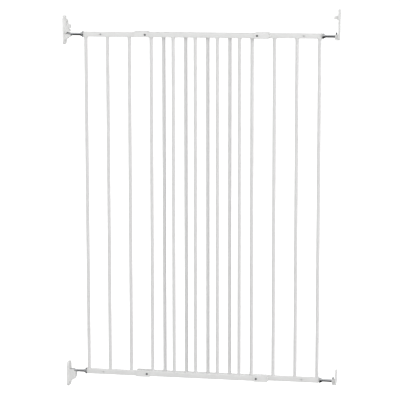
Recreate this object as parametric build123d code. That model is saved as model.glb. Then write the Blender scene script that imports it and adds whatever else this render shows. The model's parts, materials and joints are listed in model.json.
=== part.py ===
"""Wall-screwed, two-panel telescoping metal safety gate, in millimetres.

X runs along the gate, Y is its depth and Z is up. The origin is midway between the two walls, on the plane
between the two panels, level with the lowest point of the wall fittings. The front panel overlaps the rear
panel. The rear panel hangs on two pintles at the right wall, and the front panel's two spindles rest in
fittings at the left wall.
"""

import os

from build123d import *

# opening and panel layout
HALF_OPENING = 413.5
PANEL_Y = 6.5
BOTTOM_AXIS_Z = 48.6
AXIS_SPACING = 1034.0
TOP_AXIS_Z = BOTTOM_AXIS_Z + AXIS_SPACING
BARS = 8
BAR_PITCH = 66.5
LEFT_WALL_TO_BAR = 67.5
RIGHT_WALL_TO_BAR = 59.0
POST_TO_END = 5.0
INNER_OVERHANG = 86.8
TOOL_OVERRUN = 1.0

# rails and bars
RAIL_H = 16.0
RAIL_D = 12.6
RAIL_WALL = 0.9
RAIL_CORNER = 1.6
BAR_R = 5.5
BAR_BORE_R = 4.6
FLARE_R = 6.2
FLARE_H = 7.0

# end plugs, end caps and rivets
PLUG_FLANGE = 1.0
PLUG_BOSS_R = 6.0
PLUG_BOSS = 2.0
PLUG_BODY = 58.0
CAP_FLANGE = 1.2
CAP_BODY = 10.0
RIVET_FROM_POST = 46.0
RIVET_R = 2.2
RIVET_DEPTH = 1.5

# guide clips and their screws
CLIP_L = 42.0
CLIP_WALL = 1.8
CLIP_ROOF = 1.4
CLIP_SIDE_GAP = 0.4
CLIP_ROOF_GAP = 0.5
CLIP_SCREW_FROM_END = 34.0
SCREW_R = 2.0
SCREW_HEAD_R = 2.9
SCREW_HEAD_H = 1.8
SOCKET_AF = 3.0
SOCKET_DEPTH = 1.3
FIXING_SCREW_L = 5.5

# threaded spindles and flared nuts
SPINDLE_R = 4.6
SPINDLE_CHAMFER = 0.8
THREAD_CLEARANCE = 0.05
SPINDLE_SEAT_P = 8.0
SPINDLE_INSIDE = 38.0
NUT_GAP = 0.4
NUT_L = 8.0
NUT_NECK_R = 5.7
NUT_FLANGE_R = 10.0
NUT_LIP = 1.0
NUT_WAIST_R = 6.8
NUT_WAIST = 3.6
NUT_END_BEVEL = 0.5

# hinge side
PIVOT_P = 9.9
PINTLE_R = 2.5
PINTLE_TOP = 11.4
PINTLE_DOME_R = 1.75
PINTLE_CLEARANCE = 0.06
EYE_R = 4.8
EYE_HALF_H = 5.0
EYE_FLAT = 3.6
EYE_STUB_R = 2.4
EYE_STUB_L = 9.0
LEDGE_TOP = -6.9
WASHER_BOTTOM = -6.6
WASHER_TOP = -5.3
WASHER_BORE_CLEARANCE = 0.08

# wall plates, in heights above the spindle axis
PLATE_W = 40.0
PLATE_CORNER = 14.0
PLATE_EDGE = 1.0
HINGE_PLATE_T = 3.8
UPPER_HINGE_Z = (-12.5, 78.0)
LOWER_HINGE_Z = (-13.0, 35.5)
ROOT_OVERLAP = 0.5
UPPER_LATCH_T = 5.0
UPPER_LATCH_Z = (-31.0, 55.0)
LOWER_SEAT_T = 7.0
LOWER_SEAT_Z = (-48.6, 28.7)
WALL_SCREW_R = 2.3
WALL_SCREW_HEAD_R = 4.4
WALL_SCREW_SINK = 2.1
UPPER_HINGE_HOLES = (24.0, 68.0)
LOWER_HINGE_HOLE_Z = 20.0
LOWER_HINGE_HOLE_Y = 11.0
UPPER_LATCH_HOLES = (-23.5, 47.5)
LOWER_SEAT_HOLES = (-38.0, 18.6)
LUG_Z = (46.0, 60.0)
LUG_P = 16.5
LUG_NOSE = (0.4, 0.75)
LUG_TOP_P = 7.0
LUG_HALF_W = 6.0

# upper latch: hook, guides, slider and spring
HOOK_P = 22.0
HOOK_HALF_W = 9.5
HOOK_TOP_TIP = -2.0
HOOK_TOP_WALL = 3.0
HOOK_BOTTOM_TIP = -7.5
HOOK_BOTTOM_WALL = -16.5
HOOK_BELLY = (11.0, -14.5)
HOOK_CHIN = (17.0, -10.0)
CHANNEL_R = 5.1
GUIDE_Z = (3.5, 43.0)
GUIDE_OUT_Y = 15.0
GUIDE_IN_Y = 12.3
LIP_IN_Y = 9.9
LIP_P = (9.1, 11.4)
SLIDER_P = 5.3
SLIDER_BASE_P = 8.8
SLIDER_BASE_Y = 11.9
SLIDER_Y = 9.5
SLIDER_BOTTOM = 6.0
TONGUE_TOP = 14.5
TONGUE_P = 19.5
GROOVE_P = 15.5
GRIP_BOTTOM = 17.0
GRIP_TOP = 32.0
GRIP_P = 21.5
GRIP_SLOPE = 4.0
GRIP_CORNER = 1.5
TONGUE_CORNER = 1.0
POCKET_P = 14.5
POCKET_Y = 4.4
POCKET_Z = (8.0, 28.0)
PEG_P = 13.5
PEG_Y = 4.1
PEG_Z = (25.5, 27.7)
SPRING_P = 9.7
SPRING_R = 3.0
SPRING_WIRE_R = 0.4
SPRING_COILS = 6
SPRING_GAP = 0.3

# lower seat cup
CUP_P = 26.0
CUP_HALF_W = 11.5
CUP_TOP = 4.5
CUP_LIP = -3.0
CUP_SLOPE = 8.0
CUP_BOTTOM = -29.0
CUP_FOOT = -33.5
CUP_FOOT_P = 8.0
CUP_CORNER = 9.0
CUP_WALL = 2.6
CUP_POCKET_BOTTOM = -22.0

# blank label on the front panel's top rail
LABEL_FROM_FIRST_BAR = (194.5, 311.5)
LABEL_HALF_W = 3.8
LABEL_T = 0.15

FRONT_FIRST_BAR_X = -HALF_OPENING + LEFT_WALL_TO_BAR
REAR_LAST_BAR_X = HALF_OPENING - RIGHT_WALL_TO_BAR
FRONT_X = (FRONT_FIRST_BAR_X - POST_TO_END, FRONT_FIRST_BAR_X + (BARS - 1) * BAR_PITCH + INNER_OVERHANG)
REAR_FIRST_BAR_X = REAR_LAST_BAR_X - (BARS - 1) * BAR_PITCH
REAR_X = (REAR_FIRST_BAR_X - INNER_OVERHANG, REAR_LAST_BAR_X + POST_TO_END)
LABEL_X = tuple(FRONT_FIRST_BAR_X + distance for distance in LABEL_FROM_FIRST_BAR)
LEVELS = {"top": TOP_AXIS_Z, "bottom": BOTTOM_AXIS_Z}


def block(x, y, z):
    """A box between two values along each axis, given in either order."""
    spans = [(min(pair), max(pair)) for pair in (x, y, z)]
    middle = [(low + high) / 2 for low, high in spans]
    sizes = [high - low for low, high in spans]
    return Pos(*middle) * Box(*sizes)


def rod_x(x, y, z, r):
    """A cylinder along X between two values of x."""
    length = abs(x[1] - x[0])
    return Pos((x[0] + x[1]) / 2, y, z) * Rot(0, 90, 0) * Cylinder(r, length)


def rod_y(x, y, z, r):
    """A cylinder along Y between two values of y."""
    length = abs(y[1] - y[0])
    return Pos(x, (y[0] + y[1]) / 2, z) * Rot(90, 0, 0) * Cylinder(r, length)


def rod_z(x, y, z, r):
    """A cylinder along Z between two values of z."""
    length = abs(z[1] - z[0])
    return Pos(x, y, (z[0] + z[1]) / 2) * Cylinder(r, length)


def bar_stock(x, y, z, height, depth, corner):
    """A round-cornered bar along X between two values of x."""
    outline = RectangleRounded(depth, height, corner)
    start = Plane(origin=(min(x), y, z), x_dir=(0, 1, 0), z_dir=(1, 0, 0))
    return extrude(start * outline, abs(x[1] - x[0]))


def ring_about_x(x_start, direction, y, z, profile):
    """A solid of revolution about X; the profile is a list of (distance along, radius) pairs."""
    points = [(x_start + direction * along, radius) for along, radius in profile]
    face = make_face(Polyline(*points, close=True))
    return Pos(0, y, z) * revolve(face, Axis.X)


# ---- wall plates: p is the distance from the wall, side is -1 at the left wall and 1 at the right ----


def wall_x(side, p):
    """The x of a point at distance p from the wall."""
    return side * (HALF_OPENING - p)


def from_wall(side, p, y, z):
    """A box between two distances from the wall."""
    return block((wall_x(side, p[0]), wall_x(side, p[1])), y, z)


def side_profile(side, y, half_width, outline):
    """A prism across Y whose outline is a list of (distance from the wall, z) pairs."""
    points = [(wall_x(side, p), z) for p, z in outline]
    face = Plane.XZ * make_face(Polyline(*points, close=True))
    return Pos(0, y, 0) * extrude(face, half_width, both=True)


def wall_plate(side, y, axis_z, span, thickness):
    """A round-ended plate against the wall, with its room-side edge bevelled."""
    height = span[1] - span[0]
    middle = axis_z + (span[0] + span[1]) / 2
    outline = RectangleRounded(PLATE_W, height, PLATE_CORNER)
    x_low = min(wall_x(side, 0), wall_x(side, thickness))
    start = Plane(origin=(x_low, y, middle), x_dir=(0, 1, 0), z_dir=(1, 0, 0))
    plate = extrude(start * outline, thickness)
    room_face = plate.faces().sort_by(Axis.X)[-1 if side < 0 else 0]
    return chamfer(room_face.edges(), PLATE_EDGE)


def wall_screw_hole(side, y, z, thickness):
    """The countersunk hole that a wall screw goes through."""
    shank = rod_x((wall_x(side, -TOOL_OVERRUN), wall_x(side, thickness + TOOL_OVERRUN)), y, z, WALL_SCREW_R)
    sink_start = thickness - WALL_SCREW_SINK
    profile = [(sink_start, 0), (sink_start, WALL_SCREW_R), (thickness, WALL_SCREW_HEAD_R)]
    past = thickness + TOOL_OVERRUN
    profile += [(past, WALL_SCREW_HEAD_R), (past, 0)]
    return shank + ring_about_x(wall_x(side, 0), -side, y, z, profile)


# ---- panels ----


def rail(span, y, z, face_side, rivet_x, screw_x):
    """A rectangular tube with a rivet hole and a fixing-screw hole in its outer face."""
    tube = bar_stock(span, y, z, RAIL_H, RAIL_D, RAIL_CORNER)
    inside_h = RAIL_H - 2 * RAIL_WALL
    inside_d = RAIL_D - 2 * RAIL_WALL
    tube -= bar_stock(span, y, z, inside_h, inside_d, RAIL_CORNER - RAIL_WALL)
    front = y - RAIL_D / 2
    tube -= rod_y(rivet_x, (front - TOOL_OVERRUN, front + RIVET_DEPTH), z, RIVET_R)
    outer = y + face_side * RAIL_D / 2
    tube -= rod_y(screw_x, (outer + face_side * TOOL_OVERRUN, outer - face_side * 2 * RAIL_WALL), z, SCREW_R)
    return tube


def bar(x, y):
    """An upright tube whose ends flare where they are welded to the rails."""
    low = BOTTOM_AXIS_Z + RAIL_H / 2
    high = TOP_AXIS_Z - RAIL_H / 2
    upright = rod_z(x, y, (low, high), BAR_R)
    upright += Pos(x, y, low + FLARE_H / 2) * Cone(FLARE_R, BAR_R, FLARE_H)
    upright += Pos(x, y, high - FLARE_H / 2) * Cone(BAR_R, FLARE_R, FLARE_H)
    return upright - rod_z(x, y, (low, high), BAR_BORE_R)


def end_plug(end_x, outward, y, z, rivet_x):
    """The nylon insert in a rail's outer end: a flange, a boss for the nut and a bore for the spindle."""
    flange_span = (end_x, end_x + outward * PLUG_FLANGE)
    boss_span = (flange_span[1], flange_span[1] + outward * PLUG_BOSS)
    plug = bar_stock(flange_span, y, z, RAIL_H, RAIL_D, RAIL_CORNER)
    plug += rod_x(boss_span, y, z, PLUG_BOSS_R)
    inside_h = RAIL_H - 2 * RAIL_WALL
    inside_d = RAIL_D - 2 * RAIL_WALL
    body_span = (end_x, end_x - outward * PLUG_BODY)
    plug += bar_stock(body_span, y, z, inside_h, inside_d, RAIL_CORNER - RAIL_WALL)
    plug -= rod_x((boss_span[1], body_span[1]), y, z, SPINDLE_R + THREAD_CLEARANCE)
    front = y - RAIL_D / 2
    return plug - rod_y(rivet_x, (front - TOOL_OVERRUN, front + RIVET_DEPTH), z, RIVET_R)


def end_cap(end_x, outward, y, z):
    """The cap that closes a rail's inner end."""
    cap = bar_stock((end_x, end_x + outward * CAP_FLANGE), y, z, RAIL_H, RAIL_D, RAIL_CORNER)
    inside_h = RAIL_H - 2 * RAIL_WALL
    inside_d = RAIL_D - 2 * RAIL_WALL
    body_span = (end_x, end_x - outward * CAP_BODY)
    return cap + bar_stock(body_span, y, z, inside_h, inside_d, RAIL_CORNER - RAIL_WALL)


def clip_x(end_x, outward):
    """Where a clip lies along its rail: its outer end is level with the rail's inner end."""
    return (end_x, end_x - outward * CLIP_L)


def guide_clip(end_x, outward, own_side, axis_z, up):
    """A channel fixed on one panel's rail that runs over the other panel's rail.

    own_side is the sign of the y of the rail that carries it, and up is 1 on a top rail and -1 on a bottom
    rail. The side towards the bars is open under the other rail, so that its bars can pass.
    """
    span = clip_x(end_x, outward)
    rail_face = PANEL_Y + RAIL_D / 2
    own_face = own_side * rail_face
    other_face = -own_side * (rail_face + CLIP_SIDE_GAP)
    own_outer = own_side * (rail_face + CLIP_WALL)
    other_outer = -own_side * (rail_face + CLIP_SIDE_GAP + CLIP_WALL)
    roof = RAIL_H / 2 + CLIP_ROOF_GAP
    sill = -RAIL_H / 2
    roof_outer = roof + CLIP_ROOF
    sill_outer = sill - CLIP_ROOF
    heights = [axis_z + up * h for h in (sill_outer, roof_outer)]
    clip = block(span, (own_outer, other_outer), heights)
    long_edges = clip.edges().filter_by(Axis.X)
    clip = chamfer(long_edges, CLIP_ROOF / 2)
    clip -= block(span, (own_face, other_face), (axis_z + up * sill, axis_z + up * roof))
    own_inner = own_side * (PANEL_Y - RAIL_D / 2)
    clip -= block(span, (own_inner, 2 * other_outer), (axis_z + up * sill, axis_z + up * 2 * sill_outer))
    screw_x = clip_screw_x(end_x, outward)
    return clip - rod_y(screw_x, (2 * own_outer, 2 * other_outer), axis_z, SCREW_R)


def clip_screw_x(end_x, outward):
    """The x of a clip's two screws."""
    return end_x - outward * CLIP_SCREW_FROM_END


def socket_screw(x, face_y, outward, z, length):
    """A round-headed screw with a hexagon socket, its head on a face that looks along Y."""
    head = rod_y(x, (face_y, face_y + outward * SCREW_HEAD_H), z, SCREW_HEAD_R)
    crown = head.faces().sort_by(Axis.Y)[-1 if outward > 0 else 0]
    head = fillet(crown.edges(), SCREW_HEAD_H / 2)
    hexagon = RegularPolygon(SOCKET_AF / 2, 6, major_radius=False)
    top = Plane(origin=(x, face_y + outward * SCREW_HEAD_H, z), x_dir=(1, 0, 0), z_dir=(0, -outward, 0))
    head -= extrude(top * hexagon, SOCKET_DEPTH)
    return head + rod_y(x, (face_y, face_y - outward * length), z, SCREW_R)


def clip_screws(end_x, outward, own_side):
    """The screws of a panel's two clips: one fixes each clip, and one clamps the other panel's rail."""
    x = clip_screw_x(end_x, outward)
    rail_face = PANEL_Y + RAIL_D / 2
    own_y = own_side * (rail_face + CLIP_WALL)
    other_y = -own_side * (rail_face + CLIP_SIDE_GAP + CLIP_WALL)
    screws = []
    for z in LEVELS.values():
        screws.append(socket_screw(x, own_y, own_side, z, FIXING_SCREW_L))
        screws.append(socket_screw(x, other_y, -own_side, z, CLIP_WALL))
    return Compound(screws)


def rail_rivets(x, y):
    """The flush rivets that hold a panel's two end plugs."""
    front = y - RAIL_D / 2
    return Compound([rod_y(x, (front, front + RIVET_DEPTH), z, RIVET_R) for z in LEVELS.values()])


def blank_label():
    """A thin blank sticker on top of the front panel's top rail."""
    top = TOP_AXIS_Z + RAIL_H / 2
    return block(LABEL_X, (-PANEL_Y - LABEL_HALF_W, -PANEL_Y + LABEL_HALF_W), (top, top + LABEL_T))


def panel(name, span, y, outward, first_bar_x):
    """All the fixed pieces of one panel; outward is the x direction of its outer end."""
    outer_x, inner_x = (span[0], span[1]) if outward < 0 else (span[1], span[0])
    side = 1 if y > 0 else -1
    post_x = outer_x - outward * POST_TO_END
    rivet_x = post_x - outward * RIVET_FROM_POST
    screw_x = clip_screw_x(inner_x, -outward)
    pieces = {}
    for level, z in LEVELS.items():
        up = 1 if level == "top" else -1
        pieces[f"{name}_{level}_rail"] = rail(span, y, z, side, rivet_x, screw_x)
        pieces[f"{name}_{level}_end_plug"] = end_plug(outer_x, outward, y, z, rivet_x)
        pieces[f"{name}_{level}_rail_cap"] = end_cap(inner_x, -outward, y, z)
        pieces[f"{name}_{level}_guide_clip"] = guide_clip(inner_x, -outward, side, z, up)
    for i in range(BARS):
        pieces[f"{name}_bar_{i + 1}"] = bar(first_bar_x + i * BAR_PITCH, y)
    pieces[f"{name}_clip_screws"] = clip_screws(inner_x, -outward, side)
    pieces[f"{name}_rail_rivets"] = rail_rivets(rivet_x, y)
    return pieces


# ---- spindles and nuts ----


def spindle(x, y, z):
    """A plain rod of the thread's outer size, with bevelled ends."""
    rod = rod_x(x, y, z, SPINDLE_R)
    ends = rod.edges().filter_by(GeomType.CIRCLE)
    return chamfer(ends, SPINDLE_CHAMFER)


def flared_nut(plug_face_x, outward, y, z):
    """A trumpet-shaped nut whose wide end faces the end plug."""
    bore = SPINDLE_R + THREAD_CLEARANCE
    bevel_start = NUT_L - NUT_END_BEVEL
    outline = [(0, bore), (0, NUT_FLANGE_R), (NUT_LIP, NUT_FLANGE_R), (NUT_WAIST, NUT_WAIST_R)]
    outline += [(bevel_start, NUT_NECK_R), (NUT_L, NUT_NECK_R - NUT_END_BEVEL), (NUT_L, bore)]
    return ring_about_x(plug_face_x + outward * NUT_GAP, outward, y, z, outline)


# ---- hinge side ----


def pintle_ledge(span, axis_z, y):
    """The round-nosed ledge at the foot of a hinge plate, which carries the pintle."""
    height = (axis_z + span[0], axis_z + LEDGE_TOP)
    pivot_x = wall_x(1, PIVOT_P)
    ledge = from_wall(1, (0, PIVOT_P), (y - EYE_R, y + EYE_R), height)
    return ledge + rod_z(pivot_x, y, height, EYE_R)


def pintle(span, axis_z, y):
    """The steel pin that the gate turns on, with a domed top."""
    pin = rod_z(wall_x(1, PIVOT_P), y, (axis_z + span[0], axis_z + PINTLE_TOP), PINTLE_R)
    top = pin.faces().sort_by(Axis.Z)[-1]
    return fillet(top.edges(), PINTLE_DOME_R)


def hinge_plate(span, axis_z, y, holes):
    """A wall plate with its ledge and two screw holes, given as (y offset, height) pairs."""
    plate = wall_plate(1, y, axis_z, span, HINGE_PLATE_T) + pintle_ledge(span, axis_z, y)
    for offset, height in holes:
        plate -= wall_screw_hole(1, y + offset, axis_z + height, HINGE_PLATE_T)
    return plate - rod_z(wall_x(1, PIVOT_P), y, (axis_z + span[0], axis_z + LEDGE_TOP), PINTLE_R)


def lift_stop_lug(axis_z, y):
    """The undercut lug above the upper hinge that keeps the gate from being lifted right off."""
    bottom, top = (axis_z + height for height in LUG_Z)
    height = top - bottom
    nose_bottom, nose_top = (bottom + share * height for share in LUG_NOSE)
    root = HINGE_PLATE_T - ROOT_OVERLAP
    outline = [(root, bottom), (LUG_P, nose_bottom), (LUG_P, nose_top), (LUG_TOP_P, top), (root, top)]
    return side_profile(1, y, LUG_HALF_W, outline)


def hinge_washer(axis_z, y):
    """The nylon wear washer between the ledge and the eye."""
    pivot_x = wall_x(1, PIVOT_P)
    height = (axis_z + WASHER_BOTTOM, axis_z + WASHER_TOP)
    washer = rod_z(pivot_x, y, height, EYE_R)
    return washer - rod_z(pivot_x, y, height, PINTLE_R + WASHER_BORE_CLEARANCE)


def hinge_eye(axis_z, y):
    """The nylon eye that turns on the pintle, with a stub that goes into the spindle's end."""
    pivot_x = wall_x(1, PIVOT_P)
    height = (axis_z - EYE_HALF_H, axis_z + EYE_HALF_H)
    eye = rod_z(pivot_x, y, height, EYE_R)
    eye -= block((pivot_x - EYE_FLAT, pivot_x - 2 * EYE_R), (y - EYE_R, y + EYE_R), height)
    eye += block((pivot_x - EYE_FLAT, pivot_x), (y - EYE_R, y + EYE_R), height)
    eye += rod_x((pivot_x - EYE_FLAT - EYE_STUB_L, pivot_x - EYE_FLAT), y, axis_z, EYE_STUB_R)
    return eye - rod_z(pivot_x, y, height, PINTLE_R + PINTLE_CLEARANCE)


def hinge_spindle(axis_z, y):
    """A hinge spindle, drilled at its wall end for the eye's stub."""
    outer = wall_x(1, PIVOT_P) - EYE_FLAT
    rod = spindle((REAR_X[1] - SPINDLE_INSIDE, outer), y, axis_z)
    return rod - rod_x((outer - EYE_STUB_L, outer), y, axis_z, EYE_STUB_R)


# ---- latch side ----


def spindle_channel(p, y, axis_z, top):
    """The open-topped channel that a spindle lies in."""
    span = (wall_x(-1, p[0]), wall_x(-1, p[1]))
    round_bottom = rod_x(span, y, axis_z, CHANNEL_R)
    return round_bottom + block(span, (y - CHANNEL_R, y + CHANNEL_R), (axis_z, axis_z + top))


def upper_latch_plate(axis_z, y):
    """The wall plate with the hook under the spindle, the slider's guides and the spring's peg."""
    t = UPPER_LATCH_T
    plate = wall_plate(-1, y, axis_z, UPPER_LATCH_Z, t)
    root = t - ROOT_OVERLAP
    hook = [(root, HOOK_BOTTOM_WALL), HOOK_BELLY, HOOK_CHIN, (HOOK_P, HOOK_BOTTOM_TIP)]
    hook += [(HOOK_P, HOOK_TOP_TIP), (root, HOOK_TOP_WALL)]
    plate += side_profile(-1, y, HOOK_HALF_W, [(p, axis_z + z) for p, z in hook])
    plate -= spindle_channel((t + TOOL_OVERRUN, HOOK_P + TOOL_OVERRUN), y, axis_z, CHANNEL_R)
    height = [axis_z + z for z in GUIDE_Z]
    for sign in (-1, 1):
        plate += from_wall(-1, (root, LIP_P[1]), (y + sign * GUIDE_IN_Y, y + sign * GUIDE_OUT_Y), height)
        plate += from_wall(-1, LIP_P, (y + sign * LIP_IN_Y, y + sign * GUIDE_OUT_Y), height)
    plate += from_wall(-1, (root, PEG_P), (y - PEG_Y, y + PEG_Y), [axis_z + z for z in PEG_Z])
    for hole_z in UPPER_LATCH_HOLES:
        plate -= wall_screw_hole(-1, y, axis_z + hole_z, t)
    return plate


def latch_slider(axis_z, y):
    """The slide that locks the upper spindle down, with a finger grip and a pocket for its spring."""
    low, high = axis_z + SLIDER_BOTTOM, axis_z + GRIP_TOP
    root = SLIDER_BASE_P - ROOT_OVERLAP
    tongue_face, grip_face = TONGUE_P - TONGUE_CORNER, GRIP_P - GRIP_CORNER
    grip_edge = GRIP_TOP - GRIP_SLOPE
    outline = [(root, SLIDER_BOTTOM), (tongue_face, SLIDER_BOTTOM), (TONGUE_P, SLIDER_BOTTOM + TONGUE_CORNER)]
    outline += [(TONGUE_P, TONGUE_TOP - TONGUE_CORNER), (tongue_face, TONGUE_TOP), (GROOVE_P, TONGUE_TOP)]
    outline += [(GROOVE_P, GRIP_BOTTOM), (grip_face, GRIP_BOTTOM), (GRIP_P, GRIP_BOTTOM + GRIP_CORNER)]
    outline += [(GRIP_P, grip_edge - GRIP_CORNER), (grip_face, grip_edge), (root, GRIP_TOP)]
    slider = side_profile(-1, y, SLIDER_Y, [(p, axis_z + z) for p, z in outline])
    slider += from_wall(-1, (SLIDER_P, SLIDER_BASE_P), (y - SLIDER_BASE_Y, y + SLIDER_BASE_Y), (low, high))
    pocket_z = [axis_z + z for z in POCKET_Z]
    return slider - from_wall(-1, (SLIDER_P, POCKET_P), (y - POCKET_Y, y + POCKET_Y), pocket_z)


def latch_spring(axis_z, y):
    """The compression spring between the slider's pocket and the plate's peg."""
    low = axis_z + POCKET_Z[0] + SPRING_GAP + SPRING_WIRE_R
    high = axis_z + PEG_Z[0] - SPRING_GAP - SPRING_WIRE_R
    coil = Helix(pitch=(high - low) / SPRING_COILS, height=high - low, radius=SPRING_R)
    start = Plane(origin=coil @ 0, z_dir=coil % 0)
    wire = sweep(start * Circle(SPRING_WIRE_R), path=coil, is_frenet=True)
    return Pos(wall_x(-1, SPRING_P), y, low) * wire


def lower_seat_plate(axis_z, y):
    """The wall plate with an open-topped cup, sloped and notched in front to carry the lower spindle."""
    t = LOWER_SEAT_T
    plate = wall_plate(-1, y, axis_z, LOWER_SEAT_Z, t)
    root = t - ROOT_OVERLAP
    cup = [(root, CUP_TOP), (root, CUP_FOOT), (CUP_FOOT_P, CUP_FOOT), (CUP_P - CUP_CORNER, CUP_BOTTOM)]
    cup += [(CUP_P - CUP_CORNER / 3, CUP_BOTTOM + CUP_CORNER / 3), (CUP_P, CUP_BOTTOM + CUP_CORNER)]
    cup += [(CUP_P, CUP_LIP), (CUP_P - CUP_SLOPE, CUP_TOP)]
    plate += side_profile(-1, y, CUP_HALF_W, [(p, axis_z + z) for p, z in cup])
    above = CUP_TOP + TOOL_OVERRUN
    pocket_z = (axis_z + CUP_POCKET_BOTTOM, axis_z + above)
    half = CUP_HALF_W - CUP_WALL
    plate -= from_wall(-1, (t, CUP_P - CUP_WALL), (y - half, y + half), pocket_z)
    plate -= spindle_channel((t, CUP_P + TOOL_OVERRUN), y, axis_z, above)
    for hole_z in LOWER_SEAT_HOLES:
        plate -= wall_screw_hole(-1, y, axis_z + hole_z, t)
    return plate


# ---- assembly ----


def hinge_side():
    """The right wall's plates and pintles, and the washers, eyes, spindles and nuts on them."""
    y = PANEL_Y
    plug_face = REAR_X[1] + PLUG_FLANGE + PLUG_BOSS
    upper_holes = [(0, height) for height in UPPER_HINGE_HOLES]
    lower_holes = [(sign * LOWER_HINGE_HOLE_Y, LOWER_HINGE_HOLE_Z) for sign in (-1, 1)]
    upper_plate = hinge_plate(UPPER_HINGE_Z, TOP_AXIS_Z, y, upper_holes)
    pieces = {
        "upper_hinge_plate": upper_plate + lift_stop_lug(TOP_AXIS_Z, y),
        "lower_hinge_plate": hinge_plate(LOWER_HINGE_Z, BOTTOM_AXIS_Z, y, lower_holes),
        "upper_pintle": pintle(UPPER_HINGE_Z, TOP_AXIS_Z, y),
        "lower_pintle": pintle(LOWER_HINGE_Z, BOTTOM_AXIS_Z, y),
    }
    for name, z in (("upper", TOP_AXIS_Z), ("lower", BOTTOM_AXIS_Z)):
        pieces[f"{name}_hinge_washer"] = hinge_washer(z, y)
        pieces[f"{name}_hinge_eye"] = hinge_eye(z, y)
        pieces[f"{name}_hinge_spindle"] = hinge_spindle(z, y)
        pieces[f"{name}_hinge_nut"] = flared_nut(plug_face, 1, y, z)
    return pieces


def latch_side():
    """The left wall's fittings, and the spindles and nuts that meet them."""
    y = -PANEL_Y
    plug_face = FRONT_X[0] - PLUG_FLANGE - PLUG_BOSS
    span = (wall_x(-1, SPINDLE_SEAT_P), FRONT_X[0] + SPINDLE_INSIDE)
    pieces = {
        "upper_latch_plate": upper_latch_plate(TOP_AXIS_Z, y),
        "latch_slider": latch_slider(TOP_AXIS_Z, y),
        "latch_spring": latch_spring(TOP_AXIS_Z, y),
        "lower_seat_plate": lower_seat_plate(BOTTOM_AXIS_Z, y),
    }
    for name, z in (("upper", TOP_AXIS_Z), ("lower", BOTTOM_AXIS_Z)):
        pieces[f"{name}_latch_spindle"] = spindle(span, y, z)
        pieces[f"{name}_latch_nut"] = flared_nut(plug_face, -1, y, z)
    return pieces


def gate():
    """Every piece of the gate by name."""
    pieces = panel("front", FRONT_X, -PANEL_Y, -1, FRONT_FIRST_BAR_X)
    pieces.update(panel("rear", REAR_X, PANEL_Y, 1, REAR_FIRST_BAR_X))
    pieces["blank_label"] = blank_label()
    pieces.update(hinge_side())
    pieces.update(latch_side())
    return pieces


os.makedirs("parts", exist_ok=True)
for node, shape in gate().items():
    export_step(shape, f"parts/{node}.step")
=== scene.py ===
"""The looks of a telescoping metal safety gate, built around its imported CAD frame.

All places come from the frame's boxes. Sizes are millimetres until MM turns them into metres, and the
camera, floor and lights are placed in metres. Each new piece is a surface worked out with numpy, or a merged
copy of a CAD piece with its edges rounded.
"""

import json
import logging
import math
from dataclasses import dataclass
from enum import Enum
from typing import Any, Sequence

import bmesh
import bpy
import numpy as np
from mathutils import Matrix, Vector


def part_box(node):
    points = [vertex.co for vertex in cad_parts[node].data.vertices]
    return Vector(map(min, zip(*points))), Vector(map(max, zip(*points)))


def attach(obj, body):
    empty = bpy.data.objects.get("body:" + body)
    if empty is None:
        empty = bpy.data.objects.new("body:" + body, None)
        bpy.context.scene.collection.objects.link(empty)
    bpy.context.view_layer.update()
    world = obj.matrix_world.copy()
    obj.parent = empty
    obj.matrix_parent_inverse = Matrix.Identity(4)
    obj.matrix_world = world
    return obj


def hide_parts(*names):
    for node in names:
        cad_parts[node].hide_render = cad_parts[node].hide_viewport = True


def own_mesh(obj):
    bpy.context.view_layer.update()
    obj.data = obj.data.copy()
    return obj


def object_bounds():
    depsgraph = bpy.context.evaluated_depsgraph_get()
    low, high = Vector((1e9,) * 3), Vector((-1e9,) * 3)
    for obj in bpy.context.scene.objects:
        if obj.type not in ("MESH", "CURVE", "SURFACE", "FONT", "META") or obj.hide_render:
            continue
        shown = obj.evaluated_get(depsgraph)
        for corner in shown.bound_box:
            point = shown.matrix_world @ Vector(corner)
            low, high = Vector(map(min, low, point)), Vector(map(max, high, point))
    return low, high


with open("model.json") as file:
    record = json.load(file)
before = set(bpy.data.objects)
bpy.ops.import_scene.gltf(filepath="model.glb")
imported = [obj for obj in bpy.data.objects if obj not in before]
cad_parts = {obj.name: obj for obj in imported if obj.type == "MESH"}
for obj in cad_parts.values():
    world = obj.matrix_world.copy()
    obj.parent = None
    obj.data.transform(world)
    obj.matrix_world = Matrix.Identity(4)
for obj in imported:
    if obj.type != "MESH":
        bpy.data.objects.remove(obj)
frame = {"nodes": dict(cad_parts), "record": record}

CAD_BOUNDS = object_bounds()
MM = 0.001
TAU = 2.0 * math.pi
MERGE_MM = 0.002
FLAT_MM = 0.001
COPY_MERGE_MM = 0.005
COPY_FLAT_DEG = 1.0
COPY_SHARP_DEG = 35.0
NOISE_MIDDLE = (0.3, 0.7)
Surface = tuple[np.ndarray, np.ndarray]
log = logging.getLogger("safety_gate")


class Slot(Enum):
    """The record's material slots."""

    POWDER = "powder_coat_white"
    NYLON = "moulded_nylon_white"
    CHROME = "chrome_plated_steel"
    ZINC = "zinc_steel"
    BLACK = "screw_black"
    LABEL = "label_film"


class Level(Enum):
    """The two heights at which a gate has rails, spindles and wall fittings."""

    TOP = "top"
    BOTTOM = "bottom"

    @property
    def fitting(self) -> str:
        """The word that wall fittings use for this level.

        Returns:
            upper or lower.
        """
        return "upper" if self is Level.TOP else "lower"


# ---- colour and shader nodes ----


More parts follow.
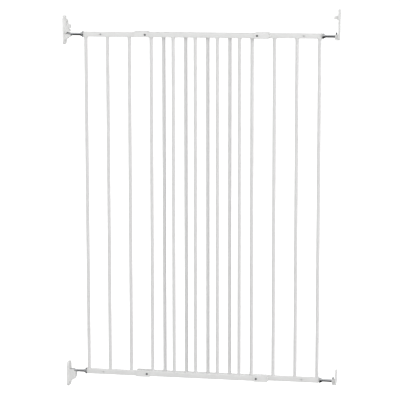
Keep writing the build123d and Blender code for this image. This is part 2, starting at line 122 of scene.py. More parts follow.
def linear(hex_colour: str) -> tuple[float, float, float, float]:
    """Turns an sRGB hex colour into linear RGBA.

    Args:
        hex_colour: six hex digits after a hash sign.

    Returns:
        The linear red, green, blue and an alpha of 1. Each channel c is c / 12.92 below 0.04045, and
        ((c + 0.055) / 1.055) to the power 2.4 above it.
    """
    channels = [int(hex_colour[i : i + 2], 16) / 255.0 for i in (1, 3, 5)]
    values = [c / 12.92 if c <= 0.04045 else ((c + 0.055) / 1.055) ** 2.4 for c in channels]
    return (values[0], values[1], values[2], 1.0)


def wire(tree: bpy.types.NodeTree, node: bpy.types.Node, feeds: dict[str | int, Any]) -> None:
    """Feeds a node's inputs.

    Args:
        tree: the node tree.
        node: the node.
        feeds: input name or number to the socket that feeds it, or to a plain value.
    """
    for key, value in feeds.items():
        if isinstance(value, bpy.types.NodeSocket):
            tree.links.new(value, node.inputs[key])
        else:
            node.inputs[key].default_value = value


def add_node(
    tree: bpy.types.NodeTree, kind: str, feeds: dict[str | int, Any] | None = None, **settings: Any
) -> bpy.types.Node:
    """Adds a shader node with its settings and links.

    Args:
        tree: the node tree.
        kind: the node's type name.
        feeds: what each input takes, as wire() has it.
        settings: attributes of the node itself.

    Returns:
        The new node.
    """
    node = tree.nodes.new(kind)
    for name, value in settings.items():
        setattr(node, name, value)
    wire(tree, node, feeds or {})
    return node


@dataclass(frozen=True)
class Pattern:
    """A noise whose lumps are size_mm across and whose middle range is stretched over low to high."""

    size_mm: float
    low: float = 0.0
    high: float = 1.0
    detail: float = 3.0

    def grow(self, tree: bpy.types.NodeTree, place: bpy.types.NodeSocket) -> bpy.types.NodeSocket:
        """Adds the pattern to a tree.

        Args:
            tree: the node tree.
            place: the coordinates that it reads.

        Returns:
            The pattern's value.
        """
        links = {"Vector": place, "Scale": 1.0 / (self.size_mm * MM), "Detail": self.detail}
        lumps = add_node(tree, "ShaderNodeTexNoise", links).outputs[0]
        stretch = {"Value": lumps, "From Min": NOISE_MIDDLE[0], "From Max": NOISE_MIDDLE[1]}
        stretch |= {"To Min": self.low, "To Max": self.high}
        return add_node(tree, "ShaderNodeMapRange", stretch).outputs[0]


@dataclass(frozen=True)
class Finish:
    """A surface finish: a tint between two colours, a gloss, a relief, and what sets its shader apart."""

    name: str
    slot: Slot
    colour: str
    shade: str
    tint: Pattern
    gloss: Pattern
    relief: Pattern
    relief_depth_mm: float
    relief_strength: float
    metallic: float = 0.0

    def build(self) -> bpy.types.Material:
        """Makes the material.

        Returns:
            A material with one Principled shader, fed by the tint, the gloss and the relief.
        """
        material = bpy.data.materials.new(self.name)
        material.use_nodes = True
        tree = material.node_tree
        shader = tree.nodes["Principled BSDF"]
        place = add_node(tree, "ShaderNodeTexCoord").outputs["Object"]
        shares = {0: self.share(tree, place), 6: linear(self.colour), 7: linear(self.shade)}
        height = self.relief.grow(tree, place)
        depth = {"Height": height, "Distance": self.relief_depth_mm * MM, "Strength": self.relief_strength}
        feeds = {
            "Base Color": add_node(tree, "ShaderNodeMix", shares, data_type="RGBA").outputs[2],
            "Roughness": self.gloss.grow(tree, place),
            "Normal": add_node(tree, "ShaderNodeBump", depth).outputs[0],
            "Metallic": self.metallic,
        }
        wire(tree, shader, feeds | self.extras())
        return material

    def share(self, tree: bpy.types.NodeTree, place: bpy.types.NodeSocket) -> bpy.types.NodeSocket:
        """How much of the shade shows at each place.

        Args:
            tree: the node tree.
            place: the coordinates that it reads.

        Returns:
            A value from 0, the colour, to 1, the shade.
        """
        return self.tint.grow(tree, place)

    def extras(self) -> dict[str | int, Any]:
        """Plain values for the shader's other sockets.

        Returns:
            Socket name to value.
        """
        return {}


@dataclass(frozen=True)
class PowderCoat(Finish):
    """White polyester powder coat, sprayed dry and baked on steel.

    It looks semi-gloss and milky, with soft clouds where the film is thinner and an orange peel whose lumps
    are 1.6 mm apart and a few hundredths of a millimetre high.
    """

    name: str = "polyester_powder_coat_white"
    slot: Slot = Slot.POWDER
    colour: str = "#EFEFEE"
    shade: str = "#EAEAE9"
    tint: Pattern = Pattern(45.0)
    gloss: Pattern = Pattern(11.0, 0.34, 0.42, 2.0)
    relief: Pattern = Pattern(1.6, detail=2.0)
    relief_depth_mm: float = 0.03
    relief_strength: float = 0.35


@dataclass(frozen=True)
class MouldedNylon(Finish):
    """White glass-filled polyamide, injection-moulded in a spark-eroded tool.

    It looks matt and a little waxy, with flow clouds in the colour and a fine even grain. The grain is
    0.3 mm on the real part and is drawn at 0.6 mm so that it shows.
    """

    name: str = "polyamide_moulded_white"
    slot: Slot = Slot.NYLON
    colour: str = "#F1F1F0"
    shade: str = "#EBEBEA"
    tint: Pattern = Pattern(18.0, detail=4.0)
    gloss: Pattern = Pattern(2.4, 0.46, 0.58, 2.0)
    relief: Pattern = Pattern(0.6)
    relief_depth_mm: float = 0.02
    relief_strength: float = 0.5
    scatter_mm: float = 2.0

    def extras(self) -> dict[str | int, Any]:
        """Polyamide bends light by 1.53 and lets a little of it through thin edges.

        Returns:
            Socket name to value.
        """
        return {"IOR": 1.53, "Subsurface Weight": 0.04, "Subsurface Radius": (self.scatter_mm * MM,) * 3}


@dataclass(frozen=True)
class BrightChrome(Finish):
    """Bright chromium over nickel on rolled steel.

    It mirrors its surroundings, with a wiped haze a few millimetres across and the slight waviness that
    rolling leaves.
    """

    name: str = "chromium_plated_steel"
    slot: Slot = Slot.CHROME
    colour: str = "#CDCED0"
    shade: str = "#BFC1C4"
    tint: Pattern = Pattern(6.0)
    gloss: Pattern = Pattern(6.0, 0.08, 0.18)
    relief: Pattern = Pattern(2.0, detail=1.0)
    relief_depth_mm: float = 0.02
    relief_strength: float = 0.25
    metallic: float = 1.0


@dataclass(frozen=True)
class ZincPlate(Finish):
    """Zinc-plated steel: grey and satin, with crystals about a millimetre across."""

    name: str = "zinc_plated_steel"
    slot: Slot = Slot.ZINC
    colour: str = "#B4B7B9"
    shade: str = "#94989B"
    tint: Pattern = Pattern(1.2, detail=1.0)
    gloss: Pattern = Pattern(1.2, 0.28, 0.42, 1.0)
    relief: Pattern = Pattern(0.8)
    relief_depth_mm: float = 0.01
    relief_strength: float = 0.3
    metallic: float = 1.0


@dataclass(frozen=True)
class BlackPassivate(Finish):
    """Black-passivated zinc screws: dark satin grey, mottled lighter at random as painted sheen for the
    heads' highlight.
    """

    name: str = "black_passivated_zinc"
    slot: Slot = Slot.BLACK
    colour: str = "#66686A"
    # The lighter shade, mottled in at random, is painted sheen standing in for the heads' highlight.
    shade: str = "#929496"
    tint: Pattern = Pattern(1.5, detail=4.0)
    gloss: Pattern = Pattern(1.5, 0.25, 0.45, 4.0)
    relief: Pattern = Pattern(0.5)
    relief_depth_mm: float = 0.01
    relief_strength: float = 0.3
    metallic: float = 1.0


@dataclass(frozen=True)
class LabelFilm(Finish):
    """A cast polypropylene film, smooth and slightly glossy, with plain printed bars and no lettering."""

    name: str = "polypropylene_label_film"
    slot: Slot = Slot.LABEL
    colour: str = "#DCDCDA"
    shade: str = "#6E6F70"
    tint: Pattern = Pattern(3.0)
    gloss: Pattern = Pattern(3.0, 0.25, 0.35, 2.0)
    relief: Pattern = Pattern(4.0, detail=1.0)
    relief_depth_mm: float = 0.02
    relief_strength: float = 0.2
    bars_mm: tuple[tuple[float, float], ...] = ((-132.0, -120.0), (-107.0, -92.0))

    def share(self, tree: bpy.types.NodeTree, place: bpy.types.NodeSocket) -> bpy.types.NodeSocket:
        """The print, which has one band along X for each bar.

        Args:
            tree: the node tree.
            place: the coordinates that it reads.

        Returns:
            1 where |x - middle| is at most half a bar's length for either bar, and 0 elsewhere.
        """
        x = add_node(tree, "ShaderNodeSeparateXYZ", {0: place}).outputs["X"]
        bands = []
        for low, high in self.bars_mm:
            middle, half = (low + high) / 2 * MM, (high - low) / 2 * MM
            band = {0: x, 1: middle, 2: half}
            bands.append(add_node(tree, "ShaderNodeMath", band, operation="COMPARE").outputs[0])
        return add_node(tree, "ShaderNodeMath", {0: bands[0], 1: bands[1]}, operation="ADD").outputs[0]


RAIL_COAT = PowderCoat()
# The bars and their weld beads take the rails' powder coat painted a shade greyer. This is painted shade for
# how the round bars fall darker under the light than the flat rails.
SHADED_BAR_COAT = PowderCoat("polyester_powder_coat_shaded", colour="#E9E9E9", shade="#E5E5E4")
NYLON = MouldedNylon()
CHROME = BrightChrome()
ZINC = ZincPlate()
BLACK = BlackPassivate()
FILM = LabelFilm()
BY_SLOT = {finish.slot: finish for finish in (RAIL_COAT, NYLON, CHROME, ZINC, BLACK, FILM)}
MATERIALS: dict[str, bpy.types.Material] = {}


def dress(piece: bpy.types.Object, finish: Finish) -> None:
    """Gives a piece or a CAD node the material of a finish.

    Args:
        piece: the object.
        finish: its finish, whose material is made once.
    """
    if finish.name not in MATERIALS:
        MATERIALS[finish.name] = finish.build()
    if not piece.material_slots:
        piece.data.materials.append(MATERIALS[finish.name])
    for holder in piece.material_slots:
        holder.link = "OBJECT"
        holder.material = MATERIALS[finish.name]


# ---- surfaces ----


@dataclass(frozen=True)
class Box:
    """A CAD node's box, in metres."""

    low: np.ndarray
    high: np.ndarray

    @staticmethod
    def of(node: str) -> "Box":
        """The box of a CAD node at rest.

        Args:
            node: the CAD node.

        Returns:
            Its box.
        """
        low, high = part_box(node)
        return Box(np.array(low), np.array(high))

    @property
    def middle(self) -> np.ndarray:
        """The box's centre."""
        return (self.low + self.high) / 2

    @property
    def size(self) -> np.ndarray:
        """The box's sides."""
        return self.high - self.low


def grid_faces(rows: int, columns: int, close_rows: bool, close_columns: bool) -> np.ndarray:
    """The quads of a grid of points, as an array of corner numbers.

    Args:
        rows: points along the first parameter.
        columns: points along the second parameter.
        close_rows: whether the last row joins the first.
        close_columns: whether the last column joins the first.

    Returns:
        One row of four corner numbers for each quad; quad (i, j) joins points (i, j), (i, j + 1),
        (i + 1, j + 1) and (i + 1, j), with the indices taken round where the grid is closed.
    """
    i, j = np.meshgrid(
        np.arange(rows if close_rows else rows - 1),
        np.arange(columns if close_columns else columns - 1),
        indexing="ij",
    )
    next_i, next_j = (i + 1) % rows, (j + 1) % columns
    corners = [i * columns + j, i * columns + next_j, next_i * columns + next_j, next_i * columns + j]
    return np.stack([c.ravel() for c in corners], axis=1)


def make_piece(name: str, parts: Sequence[Surface], smooth_deg: float = 40.0) -> bpy.types.Object:
    """Makes one mesh object from grids of points, with merged doubles and normals outwards.

    Args:
        name: the piece's name.
        parts: pairs of points, any shape ending in 3, and faces from grid_faces.
        smooth_deg: edges sharper than this stay sharp.

    Returns:
        The object, at the origin, unturned and unscaled.
    """
    points, faces, start = [], [], 0
    for part_points, part_faces in parts:
        flat = part_points.reshape(-1, 3)
        points.append(flat)
        faces.append(part_faces + start)
        start += len(flat)
    mesh = bpy.data.meshes.new(name)
    mesh.from_pydata(np.concatenate(points).tolist(), [], np.concatenate(faces).tolist())
    tidy_mesh(mesh, smooth_deg)
    piece = bpy.data.objects.new(name, mesh)
    bpy.context.scene.collection.objects.link(piece)
    return piece


def tidy_mesh(mesh: bpy.types.Mesh, smooth_deg: float) -> None:
    """Merges doubles, drops faces of no area, turns normals outwards and smooths all but sharp edges.

    Args:
        mesh: the mesh, changed in place.
        smooth_deg: edges sharper than this stay sharp.
    """
    work = bmesh.new()
    work.from_mesh(mesh)
    bmesh.ops.remove_doubles(work, verts=work.verts, dist=MERGE_MM * MM)
    bmesh.ops.dissolve_degenerate(work, edges=work.edges, dist=FLAT_MM * MM)
    bmesh.ops.recalc_face_normals(work, faces=work.faces)
    work.to_mesh(mesh)
    work.free()
    mesh.polygons.foreach_set("use_smooth", np.ones(len(mesh.polygons), dtype=bool))
    mesh.set_sharp_from_angle(angle=math.radians(smooth_deg))


def turned(
    axis: int, start: np.ndarray, along: np.ndarray, radius: np.ndarray, segments: int, close: bool = True
) -> Surface:
    """A turned surface: a profile of distance and radius carried round an axis.

    Args:
        axis: 0 for X or 2 for Z.
        start: the point on the axis that distances are measured from.
        along: the profile's signed distances along the axis.
        radius: the profile's radii.
        segments: points round the axis.
        close: whether the profile's last point joins its first.

    Returns:
        Points and faces. The point at distance s and angle a is the start, plus s along the axis, plus
        r(s) times cos a and sin a along the other two axes.
    """
    angle = np.linspace(0.0, TAU, segments, endpoint=False)
    s, a = np.meshgrid(along, angle, indexing="ij")
    r = radius[:, None]
    points = np.empty((*s.shape, 3))
    first, second = [k for k in (0, 1, 2) if k != axis]
    points[..., axis] = start[axis] + s
    points[..., first] = start[first] + r * np.cos(a)
    points[..., second] = start[second] + r * np.sin(a)
    return points, grid_faces(len(along), segments, close, True)


def rounded_rectangle(width: float, height: float, corner: float, arc_points: int) -> np.ndarray:
    """A rectangle's outline with round corners.

    Args:
        width: the side along the first axis.
        height: the side along the second axis.
        corner: the corners' radius.
        arc_points: points on each corner.

    Returns:
        Points in order round the outline: each is its corner's centre plus the radius times the cosine and
        sine of an angle that goes once round.
    """
    angle = np.linspace(0.0, TAU / 4, arc_points)
    quarter = np.arange(4)[:, None] * TAU / 4 + angle[None, :]
    sign = np.array([[1, 1], [-1, 1], [-1, -1], [1, -1]], dtype=float)[:, None, :]
    centre = sign * np.array([width / 2 - corner, height / 2 - corner])
    arc = corner * np.stack([np.cos(quarter), np.sin(quarter)], axis=-1)
    return (centre + arc).reshape(-1, 2)


def ease(t: np.ndarray) -> np.ndarray:
    """A smooth step.

    Args:
        t: where each point is between the step's start, 0, and its end, 1.

    Returns:
        3 t squared minus 2 t cubed, with t held between 0 and 1.
    """
    t = np.clip(t, 0.0, 1.0)
    return t * t * (3.0 - 2.0 * t)


def place(piece: bpy.types.Object, body: str, finish: Finish, *replaced: str) -> None:
    """Dresses a new piece, rides it on a body and lets it stand for CAD nodes.

    Args:
        piece: the new piece.
        body: the body it rides on.
        finish: its finish.
        replaced: the CAD nodes it stands for.
    """
    dress(piece, finish)
    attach(piece, body)
    if replaced:
        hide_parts(*replaced)
    log.info("%s: %d faces on %s", piece.name, len(piece.data.polygons), body)


def soft_copy(node: str, body: str, finish: Finish, edge_mm: float, segments: int = 3) -> bpy.types.Object:
    """A merged copy of a CAD node with its edges rounded, which stands for the node.

    Args:
        node: the CAD node.
        body: the body it rides on.
        finish: its finish.
        edge_mm: the edge radius that its mould or tool leaves.
        segments: steps round each edge.

    Returns:
        The new piece.
    """
    mesh = frame["nodes"][node].data.copy()
    mesh.name = node + "_moulding"
    work = bmesh.new()
    work.from_mesh(mesh)
    bmesh.ops.remove_doubles(work, verts=work.verts, dist=COPY_MERGE_MM * MM)
    flat = math.radians(COPY_FLAT_DEG)
    bmesh.ops.dissolve_limit(work, angle_limit=flat, verts=work.verts, edges=work.edges)
    work.to_mesh(mesh)
    work.free()
    mesh.polygons.foreach_set("use_smooth", np.ones(len(mesh.polygons), dtype=bool))
    mesh.set_sharp_from_angle(angle=math.radians(COPY_SHARP_DEG))
    mesh.materials.clear()
    piece = bpy.data.objects.new(node + "_moulding", mesh)
    bpy.context.scene.collection.objects.link(piece)
    rounding = piece.modifiers.new("edges", "BEVEL")
    rounding.width = edge_mm * MM
    rounding.segments = segments
    rounding.limit_method = "ANGLE"
    rounding.angle_limit = math.radians(COPY_SHARP_DEG)
    rounding.harden_normals = True
    place(piece, body, finish, node)
    return piece


# ---- the gate's own pieces ----


@dataclass
class Bar:
    """One upright tube, flared where it is welded to the rails."""

    node: str
    radius: float = 5.5
    flare: float = 7.0
    segments: int = 40
    flare_rings: int = 14

    def surface(self) -> Surface:
        """The tube's skin.

        Returns:
            Points and faces. At distance d from the nearer rail the radius is R + (F - R) (1 - d / H)
            squared within the flare's height H, and R beyond it, where F is the box's half width.
        """
        box = Box.of(self.node)
        half = box.size[0] / 2
        radius, flare, length = self.radius * MM, self.flare * MM, box.size[2]
        near = flare * np.linspace(0.0, 1.0, self.flare_rings)
        along = np.concatenate([near, [length / 2], length - near[::-1]])
        distance = np.minimum(along, length - along)
        rings = radius + (half - radius) * np.clip(1.0 - distance / flare, 0.0, 1.0) ** 2
        along = np.concatenate([[0.0], along, [length]])
        rings = np.concatenate([[0.0], rings, [0.0]])
        start = np.array([box.middle[0], box.middle[1], box.low[2]])
        return turned(2, start, along, rings, self.segments, close=False)

    def build(self, body: str) -> None:
        """Makes the bar in place of its CAD node.

        Args:
            body: the body it rides on.
        """
        # The bar takes the powder coat painted a shade greyer, as painted shade.
        place(make_piece(self.node + "_tube", [self.surface()]), body, SHADED_BAR_COAT, self.node)


@dataclass
class WeldBeads:
    """The weld beads round both ends of a panel's bars."""

    name: str
    bars: list[str]
    ring: float = 6.0
    bead: float = 0.5
    ripples: int = 9
    waver: float = 0.02
    turn_step: float = 1.7
    segments: int = 36
    bead_rings: int = 10

    def bead_at(self, x: float, y: float, z: float, turn: float) -> Surface:
        """One bead.

        Args:
            x: the bar's axis.
            y: the bar's axis.
            z: the height of the bar's end.
            turn: where its ripples start, in radians.

        Returns:
            Points and faces of a ring. At angle a round the bar and u round the bead, the distance from
            the bar's axis is the ring's radius times 1 + w sin(n a + turn), plus the bead's radius times
            cos u, and the height is the bead's radius times sin u; w and n make it look laid by hand.
        """
        u, a = np.meshgrid(
            np.linspace(0.0, TAU, self.bead_rings, endpoint=False),
            np.linspace(0.0, TAU, self.segments, endpoint=False),
            indexing="ij",
        )
        r = self.ring * (1.0 + self.waver * np.sin(self.ripples * a + turn)) + self.bead * np.cos(u)
        rise = self.bead * MM * np.sin(u)
        points = np.stack([x + r * MM * np.cos(a), y + r * MM * np.sin(a), z + rise], axis=-1)
        return points, grid_faces(self.bead_rings, self.segments, True, True)

    def build(self, body: str) -> None:
        """Makes every bead of the panel as one piece.

        Args:
            body: the body it rides on.
        """
        parts = []
        for i, node in enumerate(self.bars):
            box = Box.of(node)
            for z in (box.low[2], box.high[2]):
                parts.append(self.bead_at(box.middle[0], box.middle[1], z, i * self.turn_step + z))
        # The beads take the bars' powder coat painted a shade greyer, as painted shade.
        place(make_piece(self.name, parts), body, SHADED_BAR_COAT)


@dataclass
class Rail:
    """A rectangular steel tube."""

    node: str
    wall: float = 0.9
    corner: float = 1.6
    arc_points: int = 7
    length_rings: int = 9

    def surface(self) -> Surface:
        """The tube's skin, outside and inside.

        Returns:
            Points and faces: the round-cornered outline is carried along X outside, then back inside at
            the wall's thickness, and the two ends close it.
        """
        box = Box.of(self.node)
        _, depth, height = box.size
        outer = rounded_rectangle(depth, height, self.corner * MM, self.arc_points)
        wall = self.wall * MM
        inner_corner = (self.corner - self.wall) * MM
        inner = rounded_rectangle(depth - 2 * wall, height - 2 * wall, inner_corner, self.arc_points)
        x = np.linspace(box.low[0], box.high[0], self.length_rings)
        x = np.concatenate([x, x[::-1]])
        outlines = np.concatenate([np.repeat(skin[None], self.length_rings, 0) for skin in (outer, inner)])
        points = np.empty((len(x), outlines.shape[1], 3))
        points[..., 0] = x[:, None]
        points[..., 1:] = outlines + box.middle[1:]
        return points, grid_faces(len(x), outlines.shape[1], True, True)

    def build(self, body: str) -> None:
        """Makes the rail in place of its CAD node.

        Args:
            body: the body it rides on.
        """
        place(make_piece(self.node + "_tube", [self.surface()], 50.0), body, RAIL_COAT, self.node)


@dataclass
class Spindle:
    """A threaded rod with a plain nose."""

    node: str
    wall_end: int
    pitch: float = 1.5
    depth: float = 0.22
    nose: float = 14.0
    nose_fade: float = 3.0
    root_sharpness: float = 1.4
    bevel: float = 0.8
    segments: int = 28
    rings_per_turn: int = 8

    def surface(self) -> Surface:
        """The rod's skin.

        Returns:
            Points and faces. The radius is R minus the thread's depth times (1 - cos(2 pi p)) / 2 to the
            power 1.4, where p is distance over pitch minus angle over a full turn; the depth fades to
            nothing at the nose, and both ends are bevelled.
        """
        box = Box.of(self.node)
        length, radius = box.size[0], box.size[1] / 2
        along = np.linspace(0.0, length, int(length / (self.pitch * MM) * self.rings_per_turn))
        from_wall = along if self.wall_end < 0 else length - along
        fade = self.depth * MM * ease((from_wall / MM - self.nose) / self.nose_fade)
        bevel = np.clip(self.bevel * MM - np.minimum(along, length - along), 0.0, None)
        angle = np.linspace(0.0, TAU, self.segments, endpoint=False)
        s, a = np.meshgrid(along, angle, indexing="ij")
        wave = 0.5 - 0.5 * np.cos(TAU * (s / (self.pitch * MM)) - a)
        r = radius - fade[:, None] * wave**self.root_sharpness - bevel[:, None]
        points = np.empty((*s.shape, 3))
        points[..., 0] = box.low[0] + s
        points[..., 1] = box.middle[1] + r * np.cos(a)
        points[..., 2] = box.middle[2] + r * np.sin(a)
        centre = np.repeat(points.mean(axis=1, keepdims=True), self.segments, axis=1)
        points = np.concatenate([centre[:1], points, centre[-1:]])
        return points, grid_faces(len(points), self.segments, False, True)

    def build(self, body: str) -> None:
        """Makes the rod in place of its CAD node.

        Args:
            body: the body it rides on.
        """
        place(make_piece(self.node + "_thread", [self.surface()], 60.0), body, CHROME, self.node)


@dataclass
class FlaredNut:
    """A trumpet-shaped nut, wide and dished towards the gate."""

    node: str
    gate_side: int
    neck: float = 5.5
    bore: float = 4.65
    lip: float = 0.9
    dish: float = 1.8
    chamfer: float = 0.4
    segments: int = 72
    rings: int = 18
    lip_points: int = 9
    dish_points: int = 8

    def surface(self) -> Surface:
        """The nut's skin.

        Returns:
            Points and faces. Behind the lip the radius falls from the rim to the neck as
            neck + (rim - neck) (1 - t) squared, where t goes from 0 at the lip to 1 at the wall end. The
            lip is half a circle, and the front is a dish that deepens towards the bore by the smooth step.
        """
        box = Box.of(self.node)
        length, rim = box.size[0] / MM, box.size[1] / 2 / MM
        t = np.linspace(0.0, 1.0, self.rings)
        back_s = self.lip + (length - self.lip) * t
        back_r = self.neck + (rim - self.neck) * (1.0 - t) ** 2.0
        lip_turn = np.linspace(-TAU / 4, TAU / 4, self.lip_points)
        lip_s = self.lip / 2 + self.lip / 2 * np.sin(lip_turn)
        lip_r = rim - self.lip / 2 + self.lip / 2 * np.cos(lip_turn)
        dish_r = np.linspace(self.bore + self.chamfer, rim - self.lip / 2, self.dish_points)
        dish_s = self.dish * (1.0 - ease((dish_r - self.bore) / (rim - self.bore)))
        chamfer = self.chamfer
        end_s = np.array([length - chamfer, length, length - chamfer, self.dish + chamfer])
        end_r = np.array([self.neck, self.neck - chamfer, self.bore, self.bore])
        along = np.concatenate([dish_s, lip_s[1:], back_s[1:-1], end_s]) * MM
        radius = np.concatenate([dish_r, lip_r[1:], back_r[1:-1], end_r]) * MM
        face = box.high[0] if self.gate_side > 0 else box.low[0]
        start = np.array([face, box.middle[1], box.middle[2]])
        return turned(0, start, -self.gate_side * along, radius, self.segments)

    def build(self, body: str) -> None:
        """Makes the nut in place of its CAD node.

        Args:
            body: the body it rides on.
        """
        place(make_piece(self.node + "_trumpet", [self.surface()], 45.0), body, CHROME, self.node)


@dataclass
class Spring:
    """The latch's compression spring."""

    node: str = "latch_spring"
    wire: float = 0.4
    coils: float = 7.0
    rings: int = 168
    segments: int = 10
    keep: float = 0.32

    def surface(self) -> Surface:
        """The wire's skin.

        Returns:
            Points and faces of a round wire carried along a helix: at angle t the wire's centre is
            (r cos t, r sin t, h t / turns), and its section lies in the radial and vertical directions.
        """
        box = Box.of(self.node)
        wire = self.wire * MM
        radius = box.size[0] / 2 - wire
        t = np.linspace(0.0, TAU * self.coils, self.rings)
        a = np.linspace(0.0, TAU, self.segments, endpoint=False)
        t, a = np.meshgrid(t, a, indexing="ij")
        taper = wire * np.ones_like(t)
        taper[[0, -1]] = 0.0
        r = radius + taper * np.cos(a)
        rise = (box.size[2] - 2 * wire) * t / (TAU * self.coils)
        x = box.middle[0] + r * np.cos(t)
        y = box.middle[1] + r * np.sin(t)
        z = box.low[2] + wire + rise + taper * np.sin(a)
        return np.stack([x, y, z], axis=-1), grid_faces(self.rings, self.segments, False, True)

    def build(self, body: str, joint: str) -> None:
        """Makes the spring.

        Args:
            body: the body it rides on.
            joint: not used.
        """
        box = Box.of(self.node)
        piece = make_piece(self.node + "_wire", [self.surface()])
        place(piece, body, ZINC, self.node)
        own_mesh(piece)


@dataclass
class Label:
    """A thin film label with round corners."""

    node: str = "blank_label"
    corner: float = 2.0
    arc_points: int = 8

    def surface(self) -> Surface:
        """The film's skin.

        Returns:
            Points and faces: a round-cornered outline at the film's lower and upper faces, each closed by
            the same outline shrunk to its centre.
        """
        box = Box.of(self.node)
        outline = rounded_rectangle(box.size[0], box.size[1], self.corner * MM, self.arc_points)
        scale = np.array([0.0, 1.0, 1.0, 0.0])[:, None, None]
        points = np.empty((4, len(outline), 3))
        points[..., :2] = box.middle[:2] + scale * outline
        points[..., 2] = np.array([box.low[2], box.low[2], box.high[2], box.high[2]])[:, None]
        return points, grid_faces(4, len(outline), False, True)

    def build(self, body: str) -> None:
        """Makes the label in place of its CAD node.

        Args:
            body: the body it rides on.
        """
        place(make_piece(self.node + "_film", [self.surface()], 30.0), body, FILM, self.node)


# ---- sub-assemblies ----


@dataclass
class Panel:
    """One barred panel with its plugs, caps, clips and fasteners."""

    name: str
    bars: int = 8
    plug_edge: float = 0.7
    clip_edge: float = 0.6
    cap_edge: float = 0.35
    screw_edge: float = 0.15
    rivet_edge: float = 0.2
    fastener_steps: int = 2

    def build(self) -> None:
        """Makes the rails, bars, welds and moulded parts, and dresses the fasteners."""
        body = f"{self.name}_panel"
        bar_nodes = [f"{self.name}_bar_{i + 1}" for i in range(self.bars)]
        for level in Level:
            stem = f"{self.name}_{level.value}"
            Rail(f"{stem}_rail").build(body)
            soft_copy(f"{stem}_end_plug", body, NYLON, self.plug_edge)
            soft_copy(f"{stem}_rail_cap", body, NYLON, self.cap_edge)
            soft_copy(f"{stem}_guide_clip", body, NYLON, self.clip_edge)
        for node in bar_nodes:
            Bar(node).build(body)
        WeldBeads(f"{self.name}_weld_beads", bar_nodes).build(body)
        soft_copy(f"{self.name}_clip_screws", body, BLACK, self.screw_edge, self.fastener_steps)
        soft_copy(f"{self.name}_rail_rivets", body, RAIL_COAT, self.rivet_edge, self.fastener_steps)


@dataclass
class HingeSide:
    """The right wall's plates, with everything that turns on their pintles."""

    plate_edge: float = 0.8
    eye_edge: float = 0.4
    pintle_edge: float = 0.2
    washer_edge: float = 0.15
    small_steps: int = 2
    spindle_nose: float = 4.0

    def build(self) -> None:
        """Makes both hinges."""
        for level in Level:
            stem = level.fitting + "_hinge"
            soft_copy(f"{stem}_plate", "hinge_wall", NYLON, self.plate_edge)
            soft_copy(f"{level.fitting}_pintle", "hinge_wall", ZINC, self.pintle_edge, self.small_steps)
            soft_copy(f"{stem}_washer", "hinge_washers", NYLON, self.washer_edge, self.small_steps)
            soft_copy(f"{stem}_eye", "hinge_spindles", NYLON, self.eye_edge)
            Spindle(f"{stem}_spindle", 1, nose=self.spindle_nose).build("hinge_spindles")
            FlaredNut(f"{stem}_nut", -1).build(f"{stem}_nut")


@dataclass
class LatchSide:
    """The left wall's fittings, with the latch and the spindles that they hold."""

    plate_edge: float = 0.8

    def build(self) -> None:
        """Makes the latch plate, its slider and spring, the lower seat, and both spindles."""
        soft_copy("upper_latch_plate", "latch_wall", NYLON, self.plate_edge)
        soft_copy("lower_seat_plate", "latch_wall", NYLON, self.plate_edge)
        soft_copy("latch_slider", "latch_slider", NYLON, self.plate_edge)
        Spring().build("latch_slider", "latch_slide")
        for level in Level:
            stem = level.fitting + "_latch"
            Spindle(f"{stem}_spindle", -1).build(f"{stem}_spindle")
            FlaredNut(f"{stem}_nut", 1).build(f"{stem}_nut")


# ---- studio ----


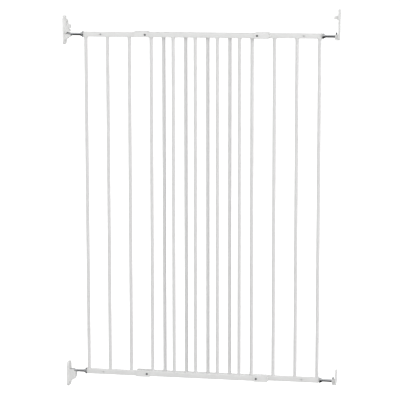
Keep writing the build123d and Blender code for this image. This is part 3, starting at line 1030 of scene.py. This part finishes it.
@dataclass
class Studio:
    """A white sweep with four soft boxes round it, and a dark ground that only mirrors see."""

    camera_at: tuple[float, float, float] = (0.9345, -5.2, 1.4348)
    yaw: float = 0.1891
    pitch: float = 0.1475
    roll: float = -0.0028
    focal_share: float = 4.460
    sensor: float = 36.0
    shift: tuple[float, float] = (0.0492, -0.0506)
    floor_drop: float = 0.03
    floor_side: float = 40.0
    floor_points: int = 5
    floor_colour: str = "#F4F4F4"
    floor_roughness: float = 0.8
    floor_glow: float = 0.9
    room_light: float = 0.58
    backdrop: float = 1.1
    mirror_sky: float = 0.95
    mirror_ground: float = 0.03
    horizon: tuple[float, float] = (0.0, 0.2)
    box_side: float = 2.6
    boxes: tuple[tuple[float, tuple[float, float, float]], ...] = (
        (30.0, (-0.4, -3.6, 2.2)),
        (16.0, (0.9, 3.2, 3.0)),
        (28.0, (-3.4, -1.2, 1.4)),
        (48.0, (3.4, -1.2, 1.4)),
    )

    def build(self) -> None:
        """Makes the camera, world, floor and soft boxes."""
        self.camera()
        self.world()
        self.floor()
        for number, (power, place_at) in enumerate(self.boxes):
            self.soft_box(f"soft_box_{number + 1}", power, place_at)
        bpy.context.scene.view_settings.view_transform = "Standard"

    def camera(self) -> None:
        """A long lens beyond the gate's right edge and above its top, turned back and slightly down."""
        data = bpy.data.cameras.new("camera")
        data.sensor_width = self.sensor
        data.lens = self.sensor * self.focal_share
        data.shift_x, data.shift_y = self.shift
        camera = bpy.data.objects.new("camera", data)
        camera.location = self.camera_at
        turn = Matrix.Rotation(self.yaw, 4, "Z") @ Matrix.Rotation(TAU / 4 - self.pitch, 4, "X")
        camera.rotation_euler = (turn @ Matrix.Rotation(self.roll, 4, "Z")).to_euler()
        bpy.context.scene.collection.objects.link(camera)
        bpy.context.scene.camera = camera

    def world(self) -> None:
        """A dim even room for light, a white backdrop, and for mirrors a bright sky over a dark ground."""
        world = bpy.data.worlds.new("white_room")
        world.use_nodes = True
        tree = world.node_tree
        tree.nodes.clear()
        way = add_node(tree, "ShaderNodeTexCoord").outputs["Generated"]
        height = add_node(tree, "ShaderNodeSeparateXYZ", {"Vector": way}).outputs["Z"]
        low, high = self.horizon
        fade = {"Value": height, "From Min": low, "From Max": high}
        fade |= {"To Min": self.mirror_ground, "To Max": self.mirror_sky}
        mirrored = add_node(tree, "ShaderNodeMapRange", fade).outputs["Result"]
        white = linear("#FFFFFF")
        lit, mirror, seen = (
            add_node(tree, "ShaderNodeBackground", {0: white, 1: strength}).outputs[0]
            for strength in (self.room_light, mirrored, self.backdrop)
        )
        ray = add_node(tree, "ShaderNodeLightPath")
        light = add_node(tree, "ShaderNodeMixShader", {0: ray.outputs["Is Glossy Ray"], 1: lit, 2: mirror})
        choice = {0: ray.outputs["Is Camera Ray"], 1: light.outputs[0], 2: seen}
        mixed = add_node(tree, "ShaderNodeMixShader", choice)
        add_node(tree, "ShaderNodeOutputWorld", {"Surface": mixed.outputs[0]})
        bpy.context.scene.world = world

    def floor(self) -> None:
        """A pale sweep lit from within, which the camera sees but which casts no light on the gate."""
        grid = np.linspace(-self.floor_side / 2, self.floor_side / 2, self.floor_points)
        x, y = np.meshgrid(grid, grid, indexing="ij")
        points = np.stack([x, y, np.full_like(x, CAD_BOUNDS[0].z - self.floor_drop)], axis=-1)
        faces = grid_faces(self.floor_points, self.floor_points, False, False)
        floor = make_piece("floor", [(points, faces)])
        for ray in ("diffuse", "glossy", "shadow", "transmission"):
            setattr(floor, "visible_" + ray, False)
        material = bpy.data.materials.new("white_acrylic_sweep")
        material.use_nodes = True
        shader = material.node_tree.nodes["Principled BSDF"]
        shader.inputs["Base Color"].default_value = linear(self.floor_colour)
        shader.inputs["Roughness"].default_value = self.floor_roughness
        shader.inputs["Emission Color"].default_value = linear("#FFFFFF")
        shader.inputs["Emission Strength"].default_value = self.floor_glow
        floor.data.materials.append(material)

    def soft_box(self, name: str, power: float, place_at: tuple[float, float, float]) -> None:
        """One large square soft box that looks at the gate's middle.

        Args:
            name: the lamp's name.
            power: its power, in watts.
            place_at: where it stands, in metres.
        """
        data = bpy.data.lights.new(name, "AREA")
        data.shape = "SQUARE"
        data.size = self.box_side
        data.energy = power
        light = bpy.data.objects.new(name, data)
        light.location = place_at
        light.visible_glossy = False
        middle = (CAD_BOUNDS[0] + CAD_BOUNDS[1]) / 2
        light.rotation_euler = (middle - light.location).to_track_quat("-Z", "Y").to_euler()
        bpy.context.scene.collection.objects.link(light)


def dress_what_is_left() -> None:
    """Gives every CAD node that still shows the finish of its own slot."""
    slots = {part["node"]: Slot(part["material_slot"]) for part in frame["record"]["subparts"]}
    for name, node in frame["nodes"].items():
        if not node.hide_render:
            dress(node, BY_SLOT[slots[name]])
            log.info("%s keeps its CAD shape", name)


def main() -> None:
    """Builds the gate and its studio."""
    logging.basicConfig(level=logging.INFO, format="%(name)s: %(message)s")
    Studio().build()
    for name in ("front", "rear"):
        Panel(name).build()
    Label().build("front_panel")
    HingeSide().build()
    LatchSide().build()
    dress_what_is_left()


if __name__ == "__main__":
    main()
